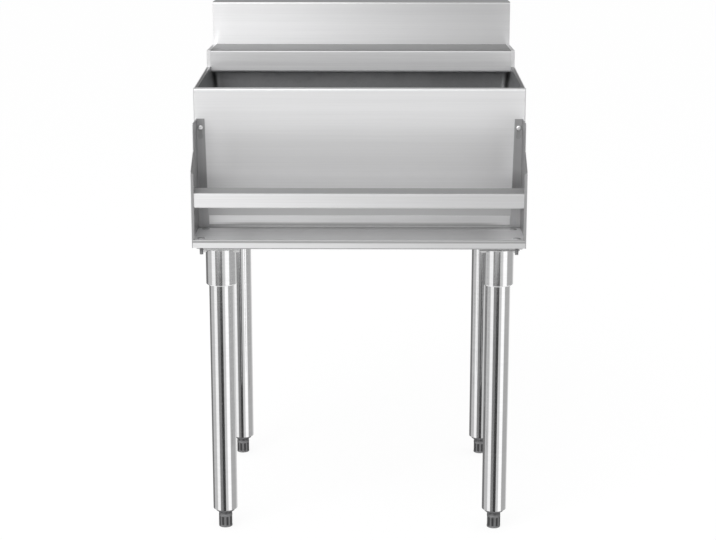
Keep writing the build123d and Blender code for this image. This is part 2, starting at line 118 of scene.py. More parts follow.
class Graph:
    """One node tree, with a single method that adds any node to it."""

    def __init__(self, tree: bpy.types.NodeTree) -> None:
        """Empties the tree."""
        self.tree = tree
        tree.nodes.clear()

    def add(
        self,
        kind: str,
        settings: Optional[Mapping[str, object]] = None,
        sockets: Optional[Mapping[Union[str, int], SocketValue]] = None,
        out: Union[str, int] = 0,
    ) -> Wire:
        """Adds one node, sets it up and joins it.

        Args:
            kind: the node's type name.
            settings: its properties, set before its sockets.
            sockets: a value or a wire for each input, by name or number.
            out: the output that is handed back, by name or number.

        Returns:
            The chosen output as a wire.
        """
        node = self.tree.nodes.new(kind)
        for key, value in (settings or {}).items():
            setattr(node, key, value)
        for key, value in (sockets or {}).items():
            if isinstance(value, Wire):
                self.tree.links.new(value.socket, node.inputs[key])
            else:
                node.inputs[key].default_value = value
        chosen = node.outputs[out] if len(node.outputs) else None
        return Wire(self, chosen)

    def maths(self, operation: str, first: Term, second: Term = 0.0) -> Wire:
        """One Math node on two values."""
        return self.add("ShaderNodeMath", {"operation": operation}, {0: first, 1: second})

    def ramp(self, value: Wire, low: float, high: float) -> Wire:
        """Smooth step from 0 at low to 1 at high."""
        limits = {"Value": value, "From Min": low, "From Max": high}
        return self.add("ShaderNodeMapRange", {"interpolation_type": "SMOOTHSTEP", "clamp": True}, limits)

    def blend(self, share: Wire, first: Union[Wire, Colour], second: Union[Wire, Colour]) -> Wire:
        """Mixes two colours.

        Args:
            share: how much of the second colour there is, from 0 to 1.
            first: the colour at 0.
            second: the colour at 1.

        Returns:
            The mixed colour.
        """
        colours = [value if isinstance(value, Wire) else (*value, 1.0) for value in (first, second)]
        sockets = {0: share, 6: colours[0], 7: colours[1]}
        return self.add("ShaderNodeMix", {"data_type": "RGBA", "clamp_factor": True}, sockets, out=2)

    def multiplied(self, colour: Wire, factor: Colour) -> Wire:
        """Colour multiplied part by part."""
        sockets = {0: 1.0, 6: colour, 7: (*factor, 1.0)}
        return self.add("ShaderNodeMix", {"data_type": "RGBA", "blend_type": "MULTIPLY"}, sockets, out=2)

    def place(self) -> Wire:
        """Object coordinates, in metres."""
        return self.add("ShaderNodeTexCoord", out="Object")

    def along(self, axis: str) -> Wire:
        """One of the object coordinates, in metres."""
        return self.add("ShaderNodeSeparateXYZ", None, {0: self.place()}, out=axis)

    def stretched(self, scale: Sequence[float]) -> Wire:
        """Object coordinates multiplied by one number for each axis."""
        return self.add("ShaderNodeMapping", None, {"Vector": self.place(), "Scale": tuple(scale)})

    def noise(self, scale: Sequence[float], detail: float = 2.0, roughness: float = 0.55) -> Wire:
        """Soft noise from 0 to 1 with a frequency per metre for each axis."""
        sockets = {"Vector": self.stretched(scale), "Scale": 1.0, "Detail": detail, "Roughness": roughness}
        return self.add("ShaderNodeTexNoise", None, sockets)

    def relief(self, height: Wire) -> Wire:
        """Normal of a surface raised by a height in metres."""
        return self.add("ShaderNodeBump", None, {"Strength": 1.0, "Distance": 1.0, "Height": height})


class Grain(Enum):
    """The way that a surface was brushed, as grain frequencies per metre along X, Y and Z."""

    ACROSS = (5.0, 700.0, 700.0)
    DEPTH = (700.0, 5.0, 700.0)
    UPRIGHT = (700.0, 700.0, 5.0)
    ROUND = (40.0, 40.0, 1100.0)
    NONE = (260.0, 260.0, 260.0)


class Facing(Enum):
    """The way that a turned piece points, as the places where its own X, Y and Z axes end up."""

    UP = ((1.0, 0.0, 0.0), (0.0, 1.0, 0.0), (0.0, 0.0, 1.0))
    FORWARD = ((1.0, 0.0, 0.0), (0.0, 0.0, 1.0), (0.0, -1.0, 0.0))


class Spread(Enum):
    """The way that brushing smears a reflection, as the turn of the shader's grain direction."""

    ALONG_TANGENT = 0.0
    ACROSS_TANGENT = 0.25


def tinted(colour: Colour, share: float) -> Colour:
    """The colour made lighter or darker by a share of itself."""
    red, green, blue = (min(1.0, part * (1.0 + share)) for part in colour)
    return red, green, blue


def steel_grey(level: float, coolness: float = 0.005) -> Colour:
    """Grey of bare stainless steel, a trace bluer than neutral."""
    return level, level, level + coolness


@dataclass(frozen=True)
class Fade:
    """A smooth change along one axis of the bin: 0 at start and 1 at full, both in metres."""

    axis: str
    start: float
    full: float

    @classmethod
    def near(cls, axis: str, edge: float, span: Span, inward: float = 1.0) -> Fade:
        """Fade between two distances from an edge.

        Args:
            axis: the axis that it runs along.
            edge: where the distances are measured from, in metres.
            span: the distances at its start and at its full, in millimetres.
            inward: 1 where the distances go up the axis and -1 where they go down it.

        Returns:
            The fade, in metres.
        """
        start, full = (edge + inward * distance * MILLIMETRE for distance in span)
        return cls(axis, start, full)


@dataclass(frozen=True)
class SatinShadeZone:
    """Zone where every fade is full, drawn with an isotropic satin shader.

    It drops the brushing and takes a share of the colour: a loss above 0 is painted shade, a loss below 0 is
    painted light, and a loss of 0 keeps the colour.
    """

    fades: tuple[Fade, ...]
    loss: float

    def mask(self, graph: Graph) -> Wire:
        """How far the zone reaches, from 0 to 1: the product of the fades."""
        shares = [graph.ramp(graph.along(fade.axis), fade.start, fade.full) for fade in self.fades]
        return reduce(mul, shares)


@dataclass(frozen=True)
class SteelFinish:
    """Bare stainless steel: grain, handling marks and the soft waves of thin sheet.

    Heights of relief are in metres, and grains are frequencies per metre. Spread is how far brushing smears
    a reflection. Streak is a share of the colour, and haze an amount of roughness. Spots and grime say how
    strong dried drops and a dirty film are, and hollow_shade how strong the painted shade in a piece's
    hollows is. Each span is the part of a noise, from 0 to 1, over which a mark comes or goes.
    """

    name: str
    colour: Colour
    grain: Grain
    roughness: float
    spread: float = 0.0
    turn: Spread = Spread.ACROSS_TANGENT
    grain_height: float = 4.0e-6
    wave_height: float = 0.0
    streak: float = 0.05
    haze: float = 0.06
    spots: float = 0.0
    grime: float = 0.0
    hollow_shade: float = 0.0
    broad_grain: float = 0.16
    broad_share: float = 0.45
    line_contrast: Span = (0.3, 0.7)
    wave_grain: float = 7.0
    drop_grain: float = 95.0
    drop_rim_inside: Span = (0.62, 0.66)
    drop_rim_outside: Span = (0.69, 0.74)
    drop_share: float = 0.35
    drop_tint: float = 0.25
    stain_grain: float = 3.2
    stain_edge: Span = (0.45, 0.8)
    stain_tint: float = -0.45
    stain_haze: float = 0.25
    hollow_tint: float = -0.9
    hollow_haze: float = 0.2

    def dried_drops(self, graph: Graph) -> Wire:
        """Rims of dried drops: 1 where a fine noise lies within a narrow band."""
        drops = graph.noise((self.drop_grain,) * 3, detail=1.0)
        return graph.ramp(drops, *self.drop_rim_inside) * (1.0 - graph.ramp(drops, *self.drop_rim_outside))

    def material(self, *zones: SatinShadeZone) -> bpy.types.Material:
        """Makes the finish as a node material.

        Args:
            zones: the places where painted shade or painted light changes the colour, on a satin shader, if
                any.

        Returns:
            The material, ready for a slot.
        """
        material = bpy.data.materials.new(self.name)
        material.use_nodes = True
        graph = Graph(material.node_tree)
        fine = graph.noise(self.grain.value, detail=3.0, roughness=0.65)
        broad = graph.noise([frequency * self.broad_grain for frequency in self.grain.value])
        cloud = graph.noise((self.wave_grain,) * 3, detail=3.0, roughness=0.6)
        lines = fine * (1.0 - self.broad_share) + broad * self.broad_share
        shade = graph.ramp(lines, *self.line_contrast)
        colour = graph.blend(shade, tinted(self.colour, -self.streak), tinted(self.colour, self.streak))
        haze = 2.0 * self.haze
        rough = self.roughness + (lines - NOISE_MEAN) * haze + (cloud - NOISE_MEAN) * haze
        height = lines * self.grain_height + cloud * self.wave_height
        if self.spots:
            dried = self.dried_drops(graph)
            rough = rough + dried * self.spots
            colour = graph.blend(dried * self.drop_share, colour, tinted(self.colour, self.drop_tint))
        if self.grime:
            film = graph.noise((self.stain_grain,) * 3, detail=4.0, roughness=0.65)
            stain = graph.ramp(film, *self.stain_edge)
            colour = graph.blend(stain * self.grime, colour, tinted(self.colour, self.stain_tint))
            rough = rough + stain * (self.stain_haze * self.grime)
        if self.hollow_shade:
            # Painted shade: darker and rougher in a piece's hollows.
            hollow = graph.add("ShaderNodeAttribute", {"attribute_name": HOLLOW}, out="Fac")
            colour = graph.blend(hollow * self.hollow_shade, colour, tinted(self.colour, self.hollow_tint))
            rough = rough + hollow * (self.hollow_haze * self.hollow_shade)
        bare = {"Metallic": 1.0, "Roughness": rough, "Normal": graph.relief(height)}
        brushing = {"Anisotropic": self.spread, "Anisotropic Rotation": self.turn.value}
        surface = graph.add("ShaderNodeBsdfPrincipled", None, bare | brushing | {"Base Color": colour})
        for zone in zones:
            # Painted shade where the loss is above 0, painted light where it is below.
            kept = 1.0 - zone.loss
            zone_colour = graph.multiplied(colour, (kept, kept, kept))
            satin = graph.add("ShaderNodeBsdfPrincipled", None, bare | {"Base Color": zone_colour})
            surface = graph.add("ShaderNodeMixShader", None, {0: zone.mask(graph), 1: surface, 2: satin})
        graph.add("ShaderNodeOutputMaterial", None, {"Surface": surface})
        return material


@dataclass(frozen=True)
class MouldedFinish:
    """Moulded plastic, rubber or foam: a matte skin with a fine texture and dust in the broad hollows.

    Pebble is the texture's frequency per metre and pebble_height its relief in metres.
    """

    name: str
    colour: Colour
    roughness: float
    pebble: float
    pebble_height: float
    mottle: float = 0.18
    mottle_haze: float = 0.12
    dust: Colour = (0.35, 0.34, 0.32)
    dust_grain: float = 23.0
    dust_edge: Span = (0.45, 0.75)
    dust_share: float = 0.12

    def material(self) -> bpy.types.Material:
        """Makes the finish as a node material.

        Returns:
            The material, ready for a slot.
        """
        material = bpy.data.materials.new(self.name)
        material.use_nodes = True
        graph = Graph(material.node_tree)
        skin = graph.noise((self.pebble,) * 3)
        settled = graph.noise((self.dust_grain,) * 3, detail=3.0)
        dusty = graph.ramp(settled, *self.dust_edge) * self.dust_share
        shade = graph.blend(skin, tinted(self.colour, -self.mottle), tinted(self.colour, self.mottle))
        shader = {
            "Base Color": graph.blend(dusty, shade, self.dust),
            "Roughness": self.roughness + (skin - NOISE_MEAN) * self.mottle_haze + dusty,
            "Normal": graph.relief(skin * self.pebble_height),
        }
        surface = graph.add("ShaderNodeBsdfPrincipled", None, shader)
        graph.add("ShaderNodeOutputMaterial", None, {"Surface": surface})
        return material


class Finish(Enum):
    """Every finish on the bin."""

    APRON = SteelFinish(
        "apron_satin", steel_grey(0.86), Grain.ACROSS, 0.52,
        grain_height=2.0e-6, wave_height=2.0e-5, streak=0.025, haze=0.03,
    )
    SPLASH = SteelFinish(
        "splash_brushed_across", steel_grey(0.77), Grain.ACROSS, 0.38,
        spread=0.85, grain_height=3.0e-6, wave_height=2.0e-5, streak=0.03, haze=0.04,
    )
    DECK = SteelFinish("deck_brushed_across", steel_grey(0.74), Grain.ACROSS, 0.50, wave_height=1.0e-5)
    SIDE = SteelFinish("side_brushed_in_depth", steel_grey(0.82), Grain.DEPTH, 0.36, wave_height=2.0e-5)
    BACK = SteelFinish(
        "back_brushed_across", steel_grey(0.82), Grain.ACROSS, 0.42, wave_height=3.0e-5, grime=0.2
    )
    UNDERSIDE = SteelFinish("underside_mill", steel_grey(0.66), Grain.DEPTH, 0.42, haze=0.1, grime=0.5)
    # Colour darker than the other sheet: painted shade inside the well.
    LINER = SteelFinish("liner_drawn", (0.58, 0.585, 0.595), Grain.DEPTH, 0.36, spots=0.12, grime=0.2)
    DRAIN = SteelFinish("drain_cast", steel_grey(0.66), Grain.NONE, 0.26, spots=0.1, grime=0.3)
    BAR = SteelFinish(
        "bar_brushed_across", steel_grey(0.83), Grain.ACROSS, 0.50, spread=0.9, wave_height=8.0e-6
    )
    TROUGH = SteelFinish(
        "trough_brushed_across", steel_grey(0.85), Grain.ACROSS, 0.52, spread=0.9, wave_height=8.0e-6
    )
    # Colour darker than the other steel: painted shade on the end plates and ears.
    RAIL_END = SteelFinish(
        "rail_end_brushed_upright", steel_grey(0.47), Grain.UPRIGHT, 0.44,
        spread=0.5, turn=Spread.ALONG_TANGENT,
    )
    TUBE = SteelFinish(
        "leg_tube_polished", steel_grey(0.88), Grain.ROUND, 0.09,
        grain_height=8.0e-7, streak=0.03, haze=0.02,
    )
    SOCKET = SteelFinish(
        "socket_polished", steel_grey(0.88), Grain.ROUND, 0.11,
        grain_height=8.0e-7, streak=0.03, haze=0.03,
    )
    # hollow_shade is painted shade in the flutes' hollows.
    FOOT = SteelFinish("foot_turned", steel_grey(0.27), Grain.ROUND, 0.46, grime=0.3, hollow_shade=0.85)
    # Colour darker than plain steel: painted shade on the rail bolts.
    SATIN = SteelFinish("rail_bolt_satin", steel_grey(0.44), Grain.NONE, 0.54, grime=0.3)
    HANGER = SteelFinish("hanger_screw_bright", (0.92, 0.92, 0.92), Grain.NONE, 0.30)
    FASTENER = SteelFinish("fastener_plated", (0.60, 0.60, 0.60), Grain.NONE, 0.28, grime=0.2)
    PLUG = MouldedFinish("plug_nylon", (0.16, 0.16, 0.165), 0.5, pebble=900.0, pebble_height=2.0e-5)
    SEAL = MouldedFinish("seal_rubber", (0.03, 0.03, 0.03), 0.7, pebble=1200.0, pebble_height=3.0e-5)
    FOAM = MouldedFinish("foam_cut", (0.75, 0.68, 0.48), 0.9, pebble=500.0, pebble_height=2.0e-4)


class Wardrobe:
    """Keeps one material for each finish and its zones of painted shade or light, and puts them on nodes and
    pieces.
    """

    def __init__(self) -> None:
        """Starts with no material made."""
        self.materials: dict[tuple[Finish, tuple[SatinShadeZone, ...]], bpy.types.Material] = {}

    def material(self, finish: Finish, *zones: SatinShadeZone) -> bpy.types.Material:
        """Finds a finish's material, or makes it the first time that it is asked for.

        Args:
            finish: what the surface is made of.
            zones: the places where painted shade or painted light changes the colour, on a satin shader, if
                any.

        Returns:
            The material.
        """
        key = (finish, zones)
        if key not in self.materials:
            self.materials[key] = finish.value.material(*zones)
        return self.materials[key]

    def dress_nodes(self, names: Iterable[str], finish: Finish, *zones: SatinShadeZone) -> None:
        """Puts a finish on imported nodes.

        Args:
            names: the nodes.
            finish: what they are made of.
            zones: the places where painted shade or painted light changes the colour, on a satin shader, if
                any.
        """
        for name in names:
            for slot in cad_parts[name].material_slots:
                slot.material = self.material(finish, *zones)
            log.info("%s: %s", name, finish.value.name)

    def fit_piece(self, piece: bpy.types.Object, finish: Finish, slot: str, body: str, *nodes: str) -> None:
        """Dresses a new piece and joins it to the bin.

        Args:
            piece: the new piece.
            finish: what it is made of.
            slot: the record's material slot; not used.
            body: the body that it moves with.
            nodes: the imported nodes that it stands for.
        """
        piece.data.materials.append(self.material(finish))
        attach(piece, body)
        if nodes:
            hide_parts(*nodes)
        log.info("%s: %s, %d faces", piece.name, finish.value.name, len(piece.data.polygons))


def single_ring(height: float, radius: float) -> Section:
    """Section of one ring."""
    return np.array([height]), np.array([radius])


def full_rows(values: np.ndarray, columns: int) -> np.ndarray:
    """One value for each row, or for each row and column, as a whole grid."""
    rows = values if values.ndim == 2 else values[:, None]
    return np.broadcast_to(rows, (len(values), columns))


def stacked(columns: int, sections: Sequence[Section]) -> np.ndarray:
    """Rings of a turned piece, from sections that follow each other up its own Z axis.

    Point (row, column) is at the column's share of a full turn, at the height and radius that the section
    gives for that row, or for that row and column.

    Args:
        columns: points round each ring.
        sections: heights and radii of each section, bottom first.

    Returns:
        Places as an array of (rows, columns, 3).
    """
    heights, radii = (np.concatenate([full_rows(part[i], columns) for part in sections]) for i in (0, 1))
    turn = np.arange(columns) * (FULL_TURN / columns)
    return np.stack([radii * np.cos(turn), radii * np.sin(turn), heights], axis=-1)


def set_out(rings: np.ndarray, places: Sequence[Sequence[float]], facing: Facing = Facing.UP) -> np.ndarray:
    """Copies of one piece: each point is turned to face the given way and moved to each place.

    Args:
        rings: the piece's own places as (rows, columns, 3).
        places: where the copies' origins go.
        facing: the way that they point.

    Returns:
        Places as an array of (copies, rows, columns, 3).
    """
    turned = rings @ np.array(facing.value)
    return turned[None] + np.array(places)[:, None, None, :]


def ring_mesh(name: str, rings: np.ndarray, bored: bool = False) -> bpy.types.Object:
    """One mesh from stacks of rings: quads join neighbouring rings all round.

    A solid stack is closed at both ends by a fan round the middle of its end ring. A bored stack's last
    ring joins its first one again, so its rows go up the outside and down the bore.

    Args:
        name: the piece's name.
        rings: places as (copies, rows, columns, 3).
        bored: True for a piece with a hole along its axis.

    Returns:
        The new object.
    """
    copies, rows, columns = rings.shape[:3]
    index = np.arange(copies * rows * columns).reshape(copies, rows, columns)
    lower = index if bored else index[:, :-1]
    upper = np.roll(index, -1, axis=1) if bored else index[:, 1:]
    quads = np.stack([lower, np.roll(lower, -1, axis=2), np.roll(upper, -1, axis=2), upper], axis=-1)
    faces = quads.reshape(-1, 4).tolist()
    points = rings.reshape(-1, 3)
    if not bored:
        poles = rings[:, [0, -1]].mean(axis=2)
        hubs = index.size + np.arange(2 * copies).reshape(copies, 2, 1)
        first = index[:, 0]
        last = index[:, -1]
        low_hub, high_hub = (np.broadcast_to(hubs[:, i], first.shape) for i in (0, 1))
        below = np.stack([np.roll(first, -1, axis=1), first, low_hub], axis=-1)
        above = np.stack([last, np.roll(last, -1, axis=1), high_hub], axis=-1)
        faces += below.reshape(-1, 3).tolist() + above.reshape(-1, 3).tolist()
        points = np.concatenate([points, poles.reshape(-1, 3)])
    mesh = bpy.data.meshes.new(name)
    mesh.from_pydata(points.tolist(), [], faces)
    mesh.shade_smooth()
    mesh.set_sharp_from_angle(angle=SHARP_ANGLE)
    piece = bpy.data.objects.new(name, mesh)
    bpy.context.collection.objects.link(piece)
    return piece


def quarter_round(rows: int) -> tuple[np.ndarray, np.ndarray]:
    """Sine and cosine over a quarter turn, by row."""
    angle = np.linspace(0.0, math.pi / 2.0, rows)
    return np.sin(angle), np.cos(angle)


@dataclass(frozen=True)
class Thread:
    """A screw thread by its crest radius, pitch and depth in metres."""

    radius: float
    pitch: float
    depth: float
    rows_each: int = 8

    def section(self, low: float, high: float, columns: int) -> Section:
        """Thread between two heights.

        The radius is the crest less the depth times a saw wave, 0 to 1, of the height over the pitch less
        the share of a turn. The groove runs in and out over one pitch.

        Args:
            low: height of its lower end.
            high: height of its upper end.
            columns: points round each ring.

        Returns:
            Heights by row, and radii by row and column.
        """
        heights = np.linspace(low, high, round((high - low) / self.pitch * self.rows_each) + 1)
        phase = heights[:, None] / self.pitch - np.arange(columns) / columns
        saw = np.abs(2.0 * (phase - np.floor(phase)) - 1.0)
        run_in = np.clip((heights - low) / self.pitch, 0.0, 1.0)
        run_out = np.clip((high - heights) / self.pitch, 0.0, 1.0)
        return heights, self.radius - self.depth * saw * (run_in * run_out)[:, None]


def hexagon(flats: float, columns: int) -> np.ndarray:
    """Radius of a hexagon by column: half its flats over the cosine of the angle from the nearest flat."""
    turn = np.arange(columns) * (FULL_TURN / columns)
    return flats / 2.0 / np.cos((turn + math.pi / 6.0) % (math.pi / 3.0) - math.pi / 6.0)


def chamfered_hexagon(flats: float, low: float, high: float, columns: int, both: bool) -> Section:
    """Hexagon between two heights, its corners turned off by a cone of 30 degrees below or at both ends.

    The radius is the lesser of the hexagon's and the cone's, which starts a little inside the flats.

    Args:
        flats: distance across the flats.
        low: height of its lower face.
        high: height of its upper face.
        columns: points round each ring.
        both: True to turn off the corners above as well.

    Returns:
        Heights by row, and radii by row and column.
    """
    half = flats / 2.0
    rise = np.linspace(0.0, CHAMFER_HEIGHT * half, CHAMFER_ROWS)
    heights = np.concatenate([low + rise, high - rise[::-1] if both else [high]])
    depth = np.minimum(heights - low, high - heights) if both else heights - low
    cone = CONE_START * half + depth * math.sqrt(3.0)
    return heights, np.minimum(hexagon(flats, columns), cone[:, None])


def nut_rings(flats: float, bore: float, height: float, columns: int) -> np.ndarray:
    """Hexagon nut: chamfered outside, then back down a bore whose mouths are eased.

    Args:
        flats: distance across the flats.
        bore: radius of the hole.
        height: thickness of the nut.
        columns: points round each ring.

    Returns:
        Places as (rows, columns, 3), for a bored stack.
    """
    outside = chamfered_hexagon(flats, 0.0, height, columns, both=True)
    ease = NUT_EASE * flats
    inner_heights = np.array([height, height - ease, ease, 0.0])
    inner_radii = np.array([bore + ease, bore, bore, bore + ease])
    return stacked(columns, [outside, (inner_heights, inner_radii)])


def outer_face(node: str, inward: float) -> float:
    """X of a node's outer face, where inward is the way into the bin from there."""
    low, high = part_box(node)
    return low.x if inward > 0.0 else high.x


@dataclass
class BinBody:
    """The outer skins, the deck, the backsplash and what closes the body below and behind.

    Losses are shares of the colour, and spans are distances in millimetres at a fade's start and full.
    """

    wardrobe: Wardrobe
    # Each loss below is painted shade: a share of the colour taken off where the skin should look darker.
    apron_loss: float = 0.22
    apron_low_loss: float = 0.32
    ear_shade_loss: float = 0.52
    splash_loss: float = 0.25
    deck_loss: float = 0.56
    lip_loss: float = 0.66
    splash_top: Span = (0.3, 2.0)
    deck_top: Span = (3.0, 0.0)
    shade_top: float = 27.0 * MILLIMETRE
    shade_over_bar: Span = (-17.0, 26.0)
    shade_from_left: Span = (10.0, 70.0)
    shade_from_right: Span = (10.0, 50.0)
    shade_under_bar: Span = (24.0, 44.0)
    ear_top: Span = (2.0, 6.0)
    ear_over_bar: Span = (0.0, 20.0)
    ear_width: Span = (16.0, 14.5)
    lip_before_deck: Span = (1.0, 4.0)
    lip_inside: Span = (1.0, 2.5)

    def dress(self) -> None:
        """Gives every skin its finish."""
        self.dress_apron()
        # Painted shade: the backsplash's top return is darker.
        on_top = Fade.near("Y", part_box("backsplash")[0].y, self.splash_top)
        self.wardrobe.dress_nodes(("backsplash",), Finish.SPLASH, SatinShadeZone((on_top,), self.splash_loss))
        # Painted shade: the deck's top face is darker.
        on_deck = Fade.near("Z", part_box("rear_deck")[1].z, self.deck_top, -1.0)
        self.wardrobe.dress_nodes(("rear_deck",), Finish.DECK, SatinShadeZone((on_deck,), self.deck_loss))
        self.dress_sides()
        self.wardrobe.dress_nodes(("back_panel",), Finish.BACK)
        hidden = ("bottom_panel", "left_leg_channel", "right_leg_channel")
        self.wardrobe.dress_nodes(hidden, Finish.UNDERSIDE)

    def dress_apron(self) -> None:
        """Gives the apron its finish, with painted shade: darker towards the bar, behind the bar and behind
        the ears.
        """
        low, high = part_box("front_apron")
        bar_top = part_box("rail_front_bar")[1].z
        upwards = Fade.near("Z", bar_top, self.shade_over_bar)
        downwards = Fade("Z", high.z - self.shade_top, upwards.full)
        from_left = Fade.near("X", low.x, self.shade_from_left)
        from_right = Fade.near("X", high.x, self.shade_from_right, -1.0)
        # Painted shade: the apron darkens towards the bar, left off near its ends.
        painted_shade = SatinShadeZone((downwards, upwards, from_left, from_right), self.apron_loss)
        behind_bar = Fade.near("Z", bar_top, self.shade_under_bar, -1.0)
        # Painted shade on the apron behind the bar.
        under_bar_shade = SatinShadeZone((behind_bar,), self.apron_low_loss)
        below_ear_top = Fade.near("Z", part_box("left_rail_end_plate")[1].z, self.ear_top, -1.0)
        above_bar = Fade.near("Z", bar_top, self.ear_over_bar)
        marks = []
        for _, inward in SIDES:
            behind_ear = Fade.near("X", outer_face("front_apron", inward), self.ear_width, inward)
            # Painted shade on the apron behind each ear.
            marks.append(SatinShadeZone((behind_ear, below_ear_top, above_bar), self.ear_shade_loss))
        self.wardrobe.dress_nodes(("front_apron",), Finish.APRON, painted_shade, under_bar_shade, *marks)

    def dress_sides(self) -> None:
        """Gives both sides their finish, with painted shade on the lips in front of the deck."""
        before_deck = Fade.near("Y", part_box("rear_deck")[0].y, self.lip_before_deck, -1.0)
        for side, inward in SIDES:
            panel = f"{side}_side_panel"
            on_lip = Fade.near("X", outer_face(panel, inward), self.lip_inside, inward)
            # Painted shade on the lip in front of the deck.
            self.wardrobe.dress_nodes((panel,), Finish.SIDE, SatinShadeZone((before_deck, on_lip), self.lip_loss))
            self.wardrobe.dress_nodes((f"{side}_splash_end_cap",), Finish.SIDE)


@dataclass
class IceWell:
    """The liner, the foam round it and the drain in its floor."""

    wardrobe: Wardrobe
    back_loss: float = 0.60
    back_shade: Span = (70.0, 20.0)
    locknut_flats: float = 60.0 * MILLIMETRE
    locknut_bore: float = 22.6 * MILLIMETRE
    locknut_columns: int = 96

    def dress(self) -> None:
        """Gives the liner, the foam and the drain their finishes."""
        # Painted shade: the liner's back wall darkens under the deck.
        under_deck = Fade.near("Y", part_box("ice_liner")[1].y, self.back_shade, -1.0)
        self.wardrobe.dress_nodes(("ice_liner",), Finish.LINER, SatinShadeZone((under_deck,), self.back_loss))
        self.wardrobe.dress_nodes(("foam_insulation",), Finish.FOAM)
        self.wardrobe.dress_nodes(("drain_gasket", "drain_washer"), Finish.SEAL)
        metal = [f"drain_{name}" for name in ("body", "tailpiece", "strainer")]
        self.wardrobe.dress_nodes(metal, Finish.DRAIN)
        self.build_locknut()

    def build_locknut(self) -> None:
        """Large nut under the bottom, with chamfered corners."""
        low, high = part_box("drain_locknut")
        rings = nut_rings(self.locknut_flats, self.locknut_bore, high.z - low.z, self.locknut_columns)
        place = ((low.x + high.x) / 2.0, (low.y + high.y) / 2.0, low.z)
        piece = ring_mesh("drain_locknut_turned", set_out(rings, [place]), bored=True)
        self.wardrobe.fit_piece(piece, Finish.DRAIN, "drain_steel", "bin", "drain_locknut")


